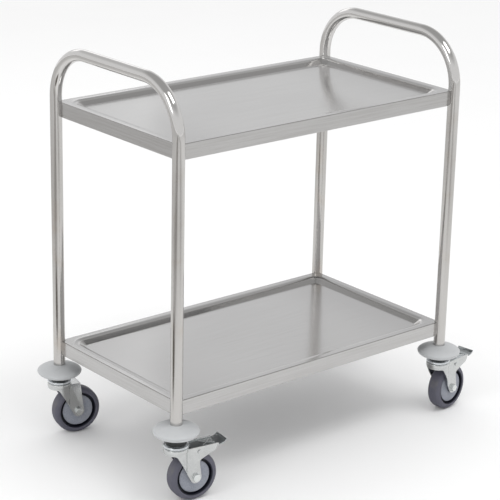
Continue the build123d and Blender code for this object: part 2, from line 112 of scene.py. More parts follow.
class Finish:
    """A material in the making: constants go on the shader, the rest is wired by node()."""

    def __init__(self, name, **constants):
        self.material = bpy.data.materials.new(name)
        self.take_over(self.material, "Principled BSDF")
        for socket, value in constants.items():
            self.shader.inputs[socket.replace("_", " ")].default_value = value

    def take_over(self, owner, shader):
        owner.use_nodes = True
        self.tree = owner.node_tree
        self.shader = self.tree.nodes[shader]

    def node(self, kind, settings=None, values=None, output=0):
        """Adds a node: its settings first, then a value or a wire for each of its inputs."""
        node = self.tree.nodes.new(kind)
        for name, value in (settings or {}).items():
            setattr(node, name, value)
        for socket, value in (values or {}).items():
            self.feed(value, node.inputs[socket])
        return Wire(self, node.outputs[output])

    def feed(self, value, socket):
        """Puts a wire or a plain value into an input; a name means one of the shader's."""
        if isinstance(socket, str):
            socket = self.shader.inputs[socket]
        if isinstance(value, Wire):
            self.tree.links.new(value.output, socket)
        else:
            socket.default_value = value

    def noise(self, place, scale, detail=3.0, roughness=0.5):
        values = {"Vector": place, "Scale": scale, "Detail": detail, "Roughness": roughness}
        return self.node("ShaderNodeTexNoise", {}, values)

    def stretched(self, place, factors):
        settings = {"operation": "MULTIPLY"}
        return self.node("ShaderNodeVectorMath", settings, {0: place, 1: factors})

    def parts(self, place):
        """The three numbers of a vector."""
        return [self.node("ShaderNodeSeparateXYZ", {}, {0: place}, axis) for axis in range(3)]

    def mixed(self, factor, first, second):
        """Colour between two colours."""
        values = {0: factor, 6: first, 7: second}
        return self.node("ShaderNodeMix", {"data_type": "RGBA"}, values, 2)

    def bump(self, height, strength, distance):
        values = {"Height": height, "Strength": strength, "Distance": distance}
        return self.node("ShaderNodeBump", {}, values)

    def facing(self):
        """The way the surface faces."""
        return self.node("ShaderNodeNewGeometry", {}, {}, 1)

    def object_place(self):
        return self.node("ShaderNodeTexCoord", {}, {}, 3)

    def own_place(self):
        """The place a point has in the piece's own unturned frame."""
        return self.node("ShaderNodeAttribute", {"attribute_name": "place"}, {}, 1)


FLOOR_HALF = 30.0
paper = Finish("studio paper", Roughness=0.9)
paper_tint = paper.noise(paper.object_place(), 3.0)
paper.feed(paper.mixed(paper_tint, (0.94, 0.94, 0.94, 1), (0.96, 0.96, 0.96, 1)), "Base Color")
floor_mesh = bpy.data.meshes.new("studio_floor")
floor_corners = [(-1, -1), (1, -1), (1, 1), (-1, 1)]
floor_points = [(x * FLOOR_HALF, y * FLOOR_HALF, 0.0) for x, y in floor_corners]
floor_mesh.from_pydata(floor_points, [], [(0, 1, 2, 3)])
floor_mesh.materials.append(paper.material)
floor = bpy.data.objects.new("studio_floor", floor_mesh)
bpy.context.scene.collection.objects.link(floor)



def distance(across, along):
    """Length of the hypotenuse over two wires."""
    return (across * across + along * along) ** 0.5


CLOTH_HALF = 9.0
CLOTH_LIFT = 0.002
RING_START = 0.7
RING_DARK = 2.2
LANE_MIDDLE = 0.12
PATCH_X = -1.20
PATCH_Y = -0.08
CART_MIDDLE_X = -0.03
cloth = Finish("black cloth", Base_Color=(0.085, 0.07, 0.055, 1), Roughness=0.8)
x, y, _ = cloth.parts(cloth.object_place())
reach = distance(x, y)
toward = -math.sin(CAMERA_HEADING) * x - math.cos(CAMERA_HEADING) * y
aside = math.cos(CAMERA_HEADING) * x - math.sin(CAMERA_HEADING) * y
off_lane = abs(aside - LANE_MIDDLE).between(0.45, 0.80)
flank = toward.between(0.3, 1.4) * (1 - (aside * aside).between(1.5, 5.0))
leftward = 1 - aside.between(-1.5, 1.5)
# Painted reflection: how dark the floor looks in bright metal, by direction from the cart, with a
# lighter lane along the camera's heading.
mirrored_darkness = 0.10 + 0.22 * leftward + 0.32 * flank * off_lane
wide_ring = reach.between(RING_START, RING_DARK) * mirrored_darkness
faint_mirrored_darkness = 0.12 * reach.between(0.2, 0.6)
# Painted shadow: under the cart the cloth darkens what the metal mirrors, in place of the cart's
# shadow.
from_cart = x - CART_MIDDLE_X
cart_shadow_length = 1 - (from_cart * from_cart).between(0.12, 0.20)
cart_shadow_width = 1 - (y * y).between(0.03, 0.07)
left_patch = 1 - distance(x - PATCH_X, y - PATCH_Y).between(0.20, 0.36)
painted_cart_shadow = cart_shadow_length * cart_shadow_width
cloth.feed(faint_mirrored_darkness + wide_ring + 0.45 * painted_cart_shadow + 0.85 * left_patch, "Alpha")
cloth_mesh = bpy.data.meshes.new("black_cloth")
cloth_points = [(x * CLOTH_HALF, y * CLOTH_HALF, CLOTH_LIFT) for x, y in floor_corners]
cloth_mesh.from_pydata(cloth_points, [], [(0, 1, 2, 3)])
cloth_mesh.materials.append(cloth.material)
cloth_ring = bpy.data.objects.new("black_cloth", cloth_mesh)
bpy.context.scene.collection.objects.link(cloth_ring)
cloth_ring.visible_camera = False
cloth_ring.visible_diffuse = False
cloth_ring.visible_shadow = False

# ---- Studio light ----
# A pale room that lights the paper evenly. Bright metal mirrors it greyer, and darker overhead,
# where dark drapes hang between the soft boxes.
ROOM_LIGHT = (0.98, 0.98, 0.98, 1)
WALLS = (0.82, 0.82, 0.825, 1)
DRAPES = (0.44, 0.44, 0.44, 1)


class Room(Finish):
    """The world's background, wired like a material."""

    def __init__(self, world):
        self.take_over(world, "Background")


bpy.context.scene.world = bpy.data.worlds.new("studio")
room = Room(bpy.context.scene.world)
_, _, height = room.parts(room.node("ShaderNodeTexCoord", {}, {}, 0))
seen_in_gloss = room.node("ShaderNodeLightPath", {}, {}, 3)
in_metal = room.mixed(height.between(0.38, 0.80), WALLS, DRAPES)
room.feed(room.mixed(seen_in_gloss, ROOM_LIGHT, in_metal), "Color")
room.feed(1.0, "Strength")


def soft_box(name, place, target, width, depth, power):
    """Rectangular area light that faces its target; the camera doesn't see it."""
    light = bpy.data.lights.new(name, "AREA")
    light.shape = "RECTANGLE"
    light.size = width
    light.size_y = depth
    light.energy = power
    box = bpy.data.objects.new(name, light)
    box.location = place
    box.rotation_euler = (Vector(target) - Vector(place)).to_track_quat("-Z", "Y").to_euler()
    box.visible_camera = False
    bpy.context.scene.collection.objects.link(box)


soft_box("top_box", (0.2, -1.4, 3.4), (0.0, 0.0, 0.5), 1.8, 1.1, 22)
soft_box("left_box", (-3.4, -0.6, 2.6), (0.0, 0.0, 0.5), 0.9, 1.8, 16)
soft_box("back_box", (0.8, 3.2, 2.2), (0.0, 0.0, 0.5), 2.4, 0.8, 4)


# ---- End hoops ----
# One piece of round stainless tube at each end, bent twice into an inverted U: the bar is the
# handle and the two legs stand in the bumpers. Polished, with a fine grain along the tube.
MM = 0.001
MIDDLE_X = CART_MIDDLE_X
LEG_HALF_X = 370 * MM
LEG_HALF_Y = 206 * MM
HOOP_FOOT = 158 * MM
HOOP_TOP = 857 * MM
HOOP_BEND = 105 * MM
TUBE_RADIUS = 12.5 * MM
TUBE_WALL = 1.2 * MM


def finished(name, mesh, finish, body, nodes, sharp=35.0, even=False):
    """Links a mesh as a piece: smooth but for sharp edges, on a body, in place of CAD nodes."""
    mesh.shade_smooth()
    mesh.set_sharp_from_angle(angle=math.radians(sharp))
    mesh.materials.clear()
    mesh.materials.append(finish.material)
    piece = bpy.data.objects.new(name, mesh)
    bpy.context.scene.collection.objects.link(piece)
    if even:
        piece.modifiers.new("even normals", "WEIGHTED_NORMAL").keep_sharp = True
    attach(piece, body)
    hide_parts(*nodes)
    return piece


def grid_mesh(name, points, place=None, matrix=None):
    """Closed surface over a grid: rows of points joined to the next row, and the last row and
    column joined to the first. Each vertex keeps its place, the point itself if none is given."""
    rows, columns = points.shape[:2]
    index = np.arange(rows * columns).reshape(rows, columns)
    next_row = np.roll(index, -1, axis=0)
    corners = [index, np.roll(index, -1, axis=1), np.roll(next_row, -1, axis=1), next_row]
    faces = np.stack(corners, axis=-1).reshape(-1, 4)
    flat = points.reshape(-1, 3)
    mesh = bpy.data.meshes.new(name)
    mesh.from_pydata(flat.tolist(), [], faces.tolist())
    kept = mesh.attributes.new("place", "FLOAT_VECTOR", "POINT")
    kept.data.foreach_set("vector", (flat if place is None else place).astype(np.float32).ravel())
    tidy = bmesh.new()
    tidy.from_mesh(mesh)
    bmesh.ops.remove_doubles(tidy, verts=tidy.verts, dist=1e-6)
    bmesh.ops.dissolve_degenerate(tidy, edges=tidy.edges, dist=1e-7)
    bmesh.ops.recalc_face_normals(tidy, faces=tidy.faces)
    tidy.to_mesh(mesh)
    tidy.free()
    if matrix is not None:
        mesh.transform(matrix)
    return mesh


def hoop_route():
    """Centre line in Y and Z, its outward normal, and the length run so far: straight leg,
    quarter circle, bar, quarter circle, straight leg."""
    quarter = np.linspace(0, math.pi / 2, 29)
    rise = np.linspace(HOOP_FOOT, HOOP_TOP - HOOP_BEND, 15)[:-1]
    bar_half = LEG_HALF_Y - HOOP_BEND
    bar = np.linspace(-bar_half, 0, 6)[1:]
    bend_y = -bar_half - HOOP_BEND * np.cos(quarter)
    bend_z = HOOP_TOP - HOOP_BEND + HOOP_BEND * np.sin(quarter)
    y = np.concatenate([np.full_like(rise, -LEG_HALF_Y), bend_y, bar])
    z = np.concatenate([rise, bend_z, np.full_like(bar, HOOP_TOP)])
    turn = np.concatenate([0 * rise, quarter, np.full_like(bar, math.pi / 2)])
    y = np.concatenate([y, -y[-2::-1]])
    z = np.concatenate([z, z[-2::-1]])
    turn = np.concatenate([turn, math.pi - turn[-2::-1]])
    normal = np.stack([-np.cos(turn), np.sin(turn)], axis=-1)
    centre = np.stack([y, z], axis=-1)
    run = np.concatenate([[0], np.cumsum(np.linalg.norm(np.diff(centre, axis=0), axis=1))])
    return centre, normal, run


def tube_skin(x, radius):
    """Tube round the route: centre + radius (cos a X + sin a normal). The place of a point is
    where it would be on the straight tube: radius cos a, radius sin a, length."""
    centre, normal, run = hoop_route()
    angle = np.linspace(0, 2 * math.pi, 72, endpoint=False)
    side = radius * np.cos(angle)
    out = radius * np.sin(angle)
    points = np.empty((len(run), len(angle), 3))
    points[:, :, 0] = x + side
    points[:, :, 1:] = centre[:, None] + out[None, :, None] * normal[:, None]
    place = np.empty_like(points)
    place[:, :, 0] = side
    place[:, :, 1] = out
    place[:, :, 2] = run[:, None]
    return points, place


tube_steel = Finish("polished tube", Metallic=1.0, Anisotropic=0.35)
place = tube_steel.own_place()
grain = tube_steel.noise(tube_steel.stretched(place, (900.0, 900.0, 9.0)), 1.0, 4.0, 0.6)
clouds = tube_steel.noise(tube_steel.stretched(place, (30.0, 30.0, 7.0)), 1.0, 2.0)
stain = tube_steel.noise(tube_steel.stretched(place, (22.0, 22.0, 16.0)), 1.0, 3.0)
_, _, height = tube_steel.parts(tube_steel.object_place())
bright = height.between(0.55, 0.78)
dull = tube_steel.mixed(clouds, (0.55, 0.535, 0.515, 1), (0.62, 0.61, 0.60, 1))
shiny = tube_steel.mixed(clouds, (0.64, 0.63, 0.615, 1), (0.72, 0.71, 0.70, 1))
clean = tube_steel.mixed(bright, dull, shiny)
stained = stain.between(0.52, 0.72) * 0.5 * (1 - bright)
tube_steel.feed(tube_steel.mixed(stained, clean, (0.52, 0.46, 0.40, 1)), "Base Color")
tube_steel.feed(0.155 - 0.045 * bright + 0.08 * (grain - 0.5) + 0.06 * (clouds - 0.5), "Roughness")
tube_steel.feed(tube_steel.bump(grain, 0.05, 0.0002), "Normal")

for side, sign in (("left", -1), ("right", 1)):
    outer, outer_place = tube_skin(MIDDLE_X + sign * LEG_HALF_X, TUBE_RADIUS)
    inner, inner_place = tube_skin(MIDDLE_X + sign * LEG_HALF_X, TUBE_RADIUS - TUBE_WALL)
    skin = np.concatenate([outer, inner[::-1]])
    skin_place = np.concatenate([outer_place, inner_place[::-1]])
    tube = grid_mesh(f"{side}_hoop_tube", skin, skin_place)
    hoop = finished(f"{side}_hoop_tube", tube, tube_steel, "cart_frame", [f"{side}_hoop"])


# ---- Trays ----
# Each is one sheet of brushed stainless steel, 1 mm thick: a pressed floor with a sloped border,
# a flat rim, a skirt folded down and returned inwards, and a round notch for the leg at each
# corner. Its colour has a painted highlight on the slope, a painted reflection along the folds and
# painted shade underneath.
LEG_INSET = 1 * MM
TRAY_HALF_X = LEG_HALF_X - LEG_INSET
TRAY_HALF_Y = LEG_HALF_Y - LEG_INSET
SHEET = 1 * MM
SKIRT = 32 * MM
FLOOR_DEPTH = 10.5 * MM
RIM = 18.5 * MM
SLOPE = 17.5 * MM
MOUTH_CORNER = 28 * MM
FLOOR_COVE = 3 * MM
RIM_BROW = 26 * MM
NOTCH = 12.6 * MM
RETURN = 9 * MM
SKIRT_BEND = 1.6 * MM
FOOT_BEND = 1.2 * MM
CORNER_POINTS = 20
LONG_POINTS = 40
SHORT_POINTS = 24


def ringed(corner_arc):
    """Closed plan outline from the arc at the corner (+, +): the arc is mirrored into the other
    three corners and straight runs join them, always with the same number of points."""
    flipped = corner_arc[::-1]
    arcs = [corner_arc, flipped * (-1, 1), corner_arc * (-1, -1), flipped * (1, -1)]
    runs = []
    for number, arc in enumerate(arcs):
        following = arcs[(number + 1) % 4]
        count = LONG_POINTS if number % 2 == 0 else SHORT_POINTS
        share = np.linspace(0, 1, count + 2)[1:-1, None]
        runs.append(arc)
        runs.append(arc[-1] * (1 - share) + following[0] * share)
    return np.concatenate(runs)


def round_outline(inset, radius):
    """Rectangle set in from the tray's edge with rounded corners."""
    angle = np.linspace(0, math.pi / 2, CORNER_POINTS)
    centre = np.array([TRAY_HALF_X - inset - radius, TRAY_HALF_Y - inset - radius])
    return ringed(centre + radius * np.stack([np.cos(angle), np.sin(angle)], axis=-1))


def notched_outline(inset, notch):
    """Rectangle set in from the tray's edge whose corners are cut by circles about the legs."""
    start = math.asin((inset + LEG_INSET) / notch)
    angle = -np.linspace(math.pi / 2 + start, math.pi - start, CORNER_POINTS)
    leg = np.array([LEG_HALF_X, LEG_HALF_Y])
    return ringed(leg + notch * np.stack([np.cos(angle), np.sin(angle)], axis=-1))


def tray_surface(top):
    """The sheet as rings from the middle of the floor out over the rim, down the skirt, in along
    its return, and back underneath: every fold is an arc between the flats beside it."""
    slope = math.atan2(FLOOR_DEPTH, SLOPE)
    rings = []

    def ring(outline, height):
        rings.append(np.column_stack([outline, np.full(len(outline), height)]))

    def well(drop, cove, brow):
        """Border of the sunk floor: a hollow fold at its foot and a round fold at its brow."""
        spread = drop * math.tan(slope / 2)
        foot = RIM + SLOPE - spread
        for turn in np.linspace(0, slope, 7):
            out = cove * (math.sin(turn) - math.tan(slope / 2))
            inset = foot - out
            up = cove * (1 - math.cos(turn))
            yield round_outline(inset, MOUTH_CORNER + RIM - inset), top - FLOOR_DEPTH - drop + up
        for turn in np.linspace(slope, 0, 7):
            out = brow * (math.tan(slope / 2) - math.sin(turn))
            inset = RIM - spread - out
            down = brow * (1 - math.cos(turn))
            yield round_outline(inset, MOUTH_CORNER + RIM - inset), top - drop - down

    def fold(radius, base_inset, base_notch, height, angles, up):
        """Arc between a level flat and an upright one, round the whole notched outline."""
        for turn in angles:
            inset = radius * (1 - math.sin(turn))
            ring(
                notched_outline(base_inset + inset, base_notch + inset),
                height - up * radius * (1 - math.cos(turn)),
            )

    border = list(well(0.0, FLOOR_COVE, RIM_BROW))
    for share in (0.0, 0.2, 0.4, 0.6, 0.8, 0.97):
        ring(border[0][0] * share, border[0][1])
    for outline, height in border:
        ring(outline, height)
    down = np.linspace(0, math.pi / 2, 7)
    fold(SKIRT_BEND, 0.0, NOTCH, top, down, 1)
    fold(FOOT_BEND, 0.0, NOTCH, top - SKIRT, down[::-1], -1)
    ring(notched_outline(RETURN, NOTCH + RETURN), top - SKIRT)
    ring(notched_outline(RETURN, NOTCH + RETURN), top - SKIRT + SHEET)
    ring(notched_outline(SHEET, NOTCH + SHEET), top - SKIRT + SHEET)
    ring(notched_outline(SHEET, NOTCH + SHEET), top - SHEET)
    underside = list(well(SHEET, FLOOR_COVE + SHEET, RIM_BROW - SHEET))[::-1]
    for outline, height in underside:
        ring(outline, height)
    for share in (0.6, 0.0):
        ring(underside[-1][0] * share, underside[-1][1])
    return np.stack(rings) + np.array([MIDDLE_X, 0.0, 0.0])


tray_steel = Finish("brushed sheet", Metallic=1.0, Anisotropic=0.3)
place = tray_steel.object_place()
side_on, _, upward = tray_steel.parts(tray_steel.facing())
end_skirt = (side_on * side_on).between(0.3, 0.6)
# Painted shade: faces that look down get a darker colour, as if in the shadow under the tray; they
# are also rougher.
painted_shade_beneath = (0 - upward).between(0.5, 0.9)
# Painted reflection: the folds at the rim, found by the way they face, get a dark colour.
fold = upward.between(0.15, 0.35) * (1 - upward.between(0.80, 0.92))
lengthwise = tray_steel.noise(tray_steel.stretched(place, (6.0, 380.0, 380.0)), 1.0, 5.0, 0.7)
crosswise = tray_steel.noise(tray_steel.stretched(place, (380.0, 6.0, 380.0)), 1.0, 5.0, 0.7)
grain = lengthwise * (1 - end_skirt) + crosswise * end_skirt
wipes = tray_steel.noise(tray_steel.stretched(place, (2.2, 5.0, 9.0)), 1.0, 3.0)
specks = tray_steel.noise(place, 260.0, 2.0)
lengthways, _, _ = tray_steel.parts(place)
from_middle = lengthways - MIDDLE_X
ends = (from_middle * from_middle).between(0.015, 0.11)
cool = tray_steel.mixed(wipes, (0.55, 0.547, 0.545, 1), (0.595, 0.59, 0.585, 1))
lying = upward.between(0.80, 0.90)
slope = lying * (1 - upward.between(0.88, 0.97))
# Level faces are darker towards the tray's two ends.
darker_at_ends = tray_steel.mixed(0.70 * ends * lying, cool, (0.45, 0.447, 0.445, 1))
streaks = (0.55 - 0.35 * lying) * grain.between(0.40, 0.62)
brushed = tray_steel.mixed(streaks, darker_at_ends, (0.46, 0.45, 0.44, 1))
# Painted highlight: the sloped border is given a brighter colour, by the way it faces.
with_slope_highlight = tray_steel.mixed(slope, brushed, (0.69, 0.68, 0.67, 1))
with_fold_reflection = tray_steel.mixed(0.6 * fold, with_slope_highlight, (0.26, 0.25, 0.24, 1))
tray_steel.feed(tray_steel.mixed(painted_shade_beneath, with_fold_reflection, (0.38, 0.38, 0.385, 1)), "Base Color")
worn = 0.10 * (grain - 0.5) + 0.06 * (wipes - 0.5) + 0.03 * (specks - 0.5)
tray_steel.feed(0.165 + worn + 0.12 * painted_shade_beneath, "Roughness")
tray_steel.feed(tray_steel.bump(grain, 0.05, 0.0002), "Normal")

for shelf, top in (("upper", 744 * MM), ("lower", 216 * MM)):
    sheet = grid_mesh(f"{shelf}_tray_sheet", tray_surface(top))
    tray = finished(
        f"{shelf}_tray_sheet", sheet, tray_steel, "cart_frame", [f"{shelf}_tray"], 50.0, True
    )


# ---- Under the trays ----
# A folded hat section is spot-welded below each floor. At each corner a hexagon bolt pulls a
# zinc saddle block outwards against the notch, into a threaded insert in the leg.
def dressed(finish, *nodes):
    """Gives CAD nodes, which keep their shape, a finish."""
    for node in nodes:
        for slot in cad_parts[node].material_slots:
            slot.material = finish.material


dressed(tray_steel, "upper_stiffener", "lower_stiffener")

zinc = Finish("zinc plate", Metallic=1.0)
place = zinc.object_place()
spangle = zinc.node("ShaderNodeTexVoronoi", {"feature": "F1"}, {"Vector": place, "Scale": 420.0}, 1)
rubbed = zinc.noise(place, 60.0, 4.0, 0.6)
fine = zinc.noise(place, 1500.0, 2.0)
_, grain, _ = zinc.parts(spangle)
plated = zinc.mixed(rubbed, (0.57, 0.585, 0.585, 1), (0.72, 0.73, 0.725, 1))
zinc.feed(zinc.mixed(0.25 * grain, plated, (0.44, 0.455, 0.46, 1)), "Base Color")
zinc.feed(0.23 + 0.12 * (rubbed - 0.5) + 0.05 * (grain - 0.5), "Roughness")
zinc.feed(zinc.bump(0.6 * fine + 0.4 * rubbed, 0.14, 0.0002), "Normal")

bolt_zinc = Finish("fastener zinc", Metallic=1.0)
place = bolt_zinc.object_place()
rubbed = bolt_zinc.noise(place, 180.0, 3.0)
bolt_zinc.feed(bolt_zinc.mixed(rubbed, (0.70, 0.73, 0.74, 1), (0.86, 0.87, 0.85, 1)), "Base Color")
bolt_zinc.feed(0.14 + 0.16 * rubbed, "Roughness")
bolt_zinc.feed(bolt_zinc.bump(bolt_zinc.noise(place, 900.0), 0.08, 0.0001), "Normal")

for shelf in ("upper", "lower"):
    dressed(zinc, f"{shelf}_corner_saddles")
    dressed(bolt_zinc, f"{shelf}_tray_bolts", f"{shelf}_rivet_nuts")


# ---- Leg feet ----
# A soft grey moulded disc at the foot of each leg keeps the cart off walls. A black seal ring
# and the swivel's pressed, bright-zinc cap sit under it; plug and stem are out of sight inside.
CORNERS = {
    "front_left": (-1, -1),
    "front_right": (1, -1),
    "rear_left": (-1, 1),
    "rear_right": (1, 1),
}
TURNED_POINTS = 96


def rounded(*corners, steps=7):
    """Closed outline from corners (across, up, radius): a corner becomes the arc that leaves
    one side and joins the next, start + radius (sin a along + (1 - cos a) inward)."""
    table = np.array([(*corner, 0.0)[:3] for corner in corners]) * MM
    points, radius = table[:, :2], table[:, 2:]
    arriving = points - np.roll(points, 1, axis=0)
    arriving /= np.linalg.norm(arriving, axis=1, keepdims=True)
    leaving = np.roll(arriving, -1, axis=0)
    turn = np.arctan2(
        arriving[:, :1] * leaving[:, 1:] - arriving[:, 1:] * leaving[:, :1],
        (arriving * leaving).sum(axis=1, keepdims=True),
    )
    inward = np.stack([-arriving[:, 1], arriving[:, 0]], axis=-1) * np.sign(turn)
    start = points - arriving * radius * np.tan(abs(turn) / 2)
    angle = abs(turn)[:, :, None] * np.linspace(0, 1, steps)[None, :, None]
    bow = arriving[:, None] * np.sin(angle) + inward[:, None] * (1 - np.cos(angle))
    return (start[:, None] + radius[:, :, None] * bow).reshape(-1, 2)


def turned(outline):
    """Closed outline (radius, height) spun about Z: radius cos a, radius sin a, height."""
    angle = np.linspace(0, 2 * math.pi, TURNED_POINTS, endpoint=False)
    points = np.empty((len(outline), TURNED_POINTS, 3))
    points[:, :, 0] = outline[:, :1] * np.cos(angle)
    points[:, :, 1] = outline[:, :1] * np.sin(angle)
    points[:, :, 2] = outline[:, 1:]
    return points


def leg_axis(corner):
    side_x, side_y = CORNERS[corner]
    return Matrix.Translation((MIDDLE_X + side_x * LEG_HALF_X, side_y * LEG_HALF_Y, 0.0))


def joined(name, meshes):
    """One mesh from several."""
    whole = bmesh.new()
    for mesh in meshes:
        whole.from_mesh(mesh)
    result = bpy.data.meshes.new(name)
    whole.to_mesh(result)
    whole.free()
    return result


def bulge(start, width, middle, rise, power, count=22):
    """Quarter of a superellipse from its crown to its widest point:
    start + width cos(a)^(2/power), middle + rise sin(a)^(2/power)."""
    angle = np.linspace(math.pi / 2, 0, count)
    across = start + width * np.maximum(np.cos(angle), 0) ** (2 / power)
    up = middle + rise * np.maximum(np.sin(angle), 0) ** (2 / power)
    return np.stack([across, up], axis=-1) * MM


# How far each bumper stands above its usual place, on a seal that is as much taller
BUMPER_LIFTS = {"front_left": 8.0, "front_right": 0.0, "rear_left": 0.0, "rear_right": 0.0}
BUMPER_TOP = 162.0
BUMPER_MIDDLE = 147.2
BUMPER_BASE = 136.0
BUMPER_BASE_RADIUS = 28.0
BUMPER_LIP = 14.2
SOCKET_FLOOR = 158.0
BORE = 6.5
SOCKET = 12.6


def bumper_outline(lift):
    """Section of a disc: bore, socket for the tube with a rolled lip, dome, a fine moulding
    groove round the widest point, and belly."""
    top = BUMPER_TOP + lift
    middle = BUMPER_MIDDLE + lift
    base = BUMPER_BASE + lift
    inside = [(BORE, base), (BORE, SOCKET_FLOOR), (SOCKET, SOCKET_FLOOR)]
    lip = [(SOCKET, top - 0.3), (SOCKET + 0.3, top), (SOCKET + 1.2, top - 0.1)]
    groove = [(47.25, middle + 0.15), (47.05, middle), (47.2, middle - 0.2)]
    dome = bulge(BUMPER_LIP, 33.3, middle + 0.3, 13.6, 1.62)
    belly = bulge(BUMPER_BASE_RADIUS, 19.2, middle - 0.2, base - middle + 0.2, 1.85)[::-1]
    return np.concatenate([np.array(inside + lip) * MM, dome, np.array(groove) * MM, belly])



bumper_plastic = Finish("grey bumper", Specular_IOR_Level=0.45)
place = bumper_plastic.own_place()
pebble = bumper_plastic.noise(place, 1600.0, 2.0)
scuffs = bumper_plastic.noise(bumper_plastic.stretched(place, (60.0, 60.0, 160.0)), 1.0, 4.0, 0.6)
flow = bumper_plastic.noise(place, 26.0, 2.0)
tint = bumper_plastic.mixed(flow, (0.47, 0.482, 0.492, 1), (0.52, 0.532, 0.542, 1))
grubby = scuffs.between(0.56, 0.75) * 0.30
bumper_plastic.feed(bumper_plastic.mixed(grubby, tint, (0.36, 0.37, 0.38, 1)), "Base Color")
bumper_plastic.feed(0.42 + 0.16 * (scuffs - 0.5) + 0.08 * (pebble - 0.5), "Roughness")
bumper_plastic.feed(bumper_plastic.bump(pebble, 0.14, 0.0002), "Normal")

for corner, lift in BUMPER_LIFTS.items():
    section = bumper_outline(lift)
    disc = grid_mesh(f"{corner}_bumper_disc", turned(section), matrix=leg_axis(corner))
    bumper = finished(
        f"{corner}_bumper_disc", disc, bumper_plastic, "cart_frame", [f"{corner}_bumper"]
    )

black_rubber = Finish("black seal rubber", Specular_IOR_Level=0.5)
place = black_rubber.own_place()
grease = black_rubber.noise(place, 260.0, 3.0)
black_rubber.feed(
    black_rubber.mixed(grease, (0.006, 0.007, 0.007, 1), (0.022, 0.026, 0.026, 1)), "Base Color"
)
black_rubber.feed(0.22 + 0.30 * grease, "Roughness")
black_rubber.feed(black_rubber.bump(grease, 0.2, 0.0003), "Normal")
SEAL_BASE = 128.0
SEAL_RADIUS = 21.5
SEAL_NECK = 21.4
SEAL_WAIST = 20.4
SEAL_BORE = 8.0
seal_rings = []
for corner, lift in BUMPER_LIFTS.items():
    seal_outline = rounded(
        (SEAL_BORE, SEAL_BASE),
        (SEAL_RADIUS, SEAL_BASE, 0.8),
        (SEAL_RADIUS, SEAL_BASE + 3.2, 0.5),
        (SEAL_WAIST, SEAL_BASE + 4.0, 0.5),
        (SEAL_NECK, SEAL_BASE + 4.8, 0.5),
        (SEAL_NECK, BUMPER_BASE + lift, 0.3),
        (SEAL_BORE, BUMPER_BASE + lift),
    )
    seal_rings.append(grid_mesh("seal_ring", turned(seal_outline), matrix=leg_axis(corner)))
seals = joined("seal_rings", seal_rings)
seal_piece = finished("seal_rings", seals, black_rubber, "cart_frame", ["swivel_seals"], 40.0, True)

bright_zinc = Finish("bright zinc", Metallic=1.0)
place = bright_zinc.own_place()
haze = bright_zinc.noise(place, 90.0, 3.0)
lathe = bright_zinc.noise(bright_zinc.stretched(place, (90.0, 90.0, 2600.0)), 1.0, 2.0)
hazed = bright_zinc.mixed(haze, (0.72, 0.76, 0.79, 1), (0.86, 0.88, 0.89, 1))
bright_zinc.feed(hazed, "Base Color")
bright_zinc.feed(0.12 + 0.12 * haze, "Roughness")
bright_zinc.feed(bright_zinc.bump(lathe, 0.06, 0.0001), "Normal")
CAP_BASE = 121.5
CAP_RADIUS = 26.5
CAP_BORE = 6.05
BALL_CIRCLE = 20.0
BALL_HEIGHT = 120.8
GROOVE_RADIUS = 2.65
ball_groove = [
    (BALL_CIRCLE + GROOVE_RADIUS * math.cos(angle), BALL_HEIGHT + GROOVE_RADIUS * math.sin(angle))
    for angle in np.linspace(math.radians(165), math.radians(15), 13)
]
cap_outline = rounded(
    (CAP_BORE, CAP_BASE),
    *ball_groove,
    (CAP_RADIUS - 2.1, CAP_BASE, 0.2),
    (CAP_RADIUS - 1.7, CAP_BASE + 1.2, 0.4),
    (CAP_RADIUS, CAP_BASE + 1.7, 0.5),
    (CAP_RADIUS, CAP_BASE + 2.7, 0.3),
    (CAP_RADIUS - 0.8, CAP_BASE + 3.2, 0.3),
    (CAP_RADIUS - 0.2, CAP_BASE + 3.8, 0.3),
    (CAP_RADIUS - 0.5, CAP_BASE + 5.1, 1.6),
    (SEAL_RADIUS + 0.9, SEAL_BASE - 0.3, 1.5),
    (SEAL_RADIUS + 0.5, SEAL_BASE, 0.2),
    (CAP_BORE, SEAL_BASE),
)
cap_rings = [
    grid_mesh("cap_ring", turned(cap_outline), matrix=leg_axis(corner)) for corner in CORNERS
]
caps = joined("swivel_cap_rings", cap_rings)
cap_piece = finished(
    "swivel_cap_rings", caps, bright_zinc, "cart_frame", ["swivel_caps"], 40.0, True
)
dressed(zinc, "leg_plugs")
dressed(bolt_zinc, "caster_stems", "kingpin_nuts")


# ---- Forks ----
# Pressed from 2.5 mm steel with a turned-in crown over the balls, then zinc plated. The front
# two have longer cheeks that carry the brake. Every cut edge is slightly broken.
HEADINGS = {"front_left": -9.0, "front_right": 8.0, "rear_left": -13.0, "rear_right": -10.0}
BRAKED = ("front_left", "front_right")


def broken_edges(name, node, width, finish, body):
    """A copy of a CAD node, its loose triangles merged and its sharp edges rounded over."""
    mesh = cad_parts[node].data.copy()
    mesh.name = name
    tidy = bmesh.new()
    tidy.from_mesh(mesh)
    bmesh.ops.remove_doubles(tidy, verts=tidy.verts, dist=1e-6)
    bmesh.ops.dissolve_limit(
        tidy, angle_limit=math.radians(1.0), verts=tidy.verts, edges=tidy.edges
    )
    tidy.to_mesh(mesh)
    tidy.free()
    mesh.shade_smooth()
    mesh.materials.clear()
    mesh.materials.append(finish.material)
    piece = bpy.data.objects.new(name, mesh)
    bpy.context.scene.collection.objects.link(piece)
    bevel = piece.modifiers.new("broken edges", "BEVEL")
    bevel.width = width
    bevel.segments = 3
    bevel.limit_method = "ANGLE"
    bevel.angle_limit = math.radians(32)
    bevel.miter_outer = "MITER_ARC"
    bevel.harden_normals = True
    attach(piece, body)
    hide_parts(node)
    return piece


for corner in CORNERS:
    fork = broken_edges(
        f"{corner}_fork_pressing", f"{corner}_fork", 0.5 * MM, zinc, f"{corner}_swivel"
    )
    dressed(bright_zinc, f"{corner}_swivel_balls")


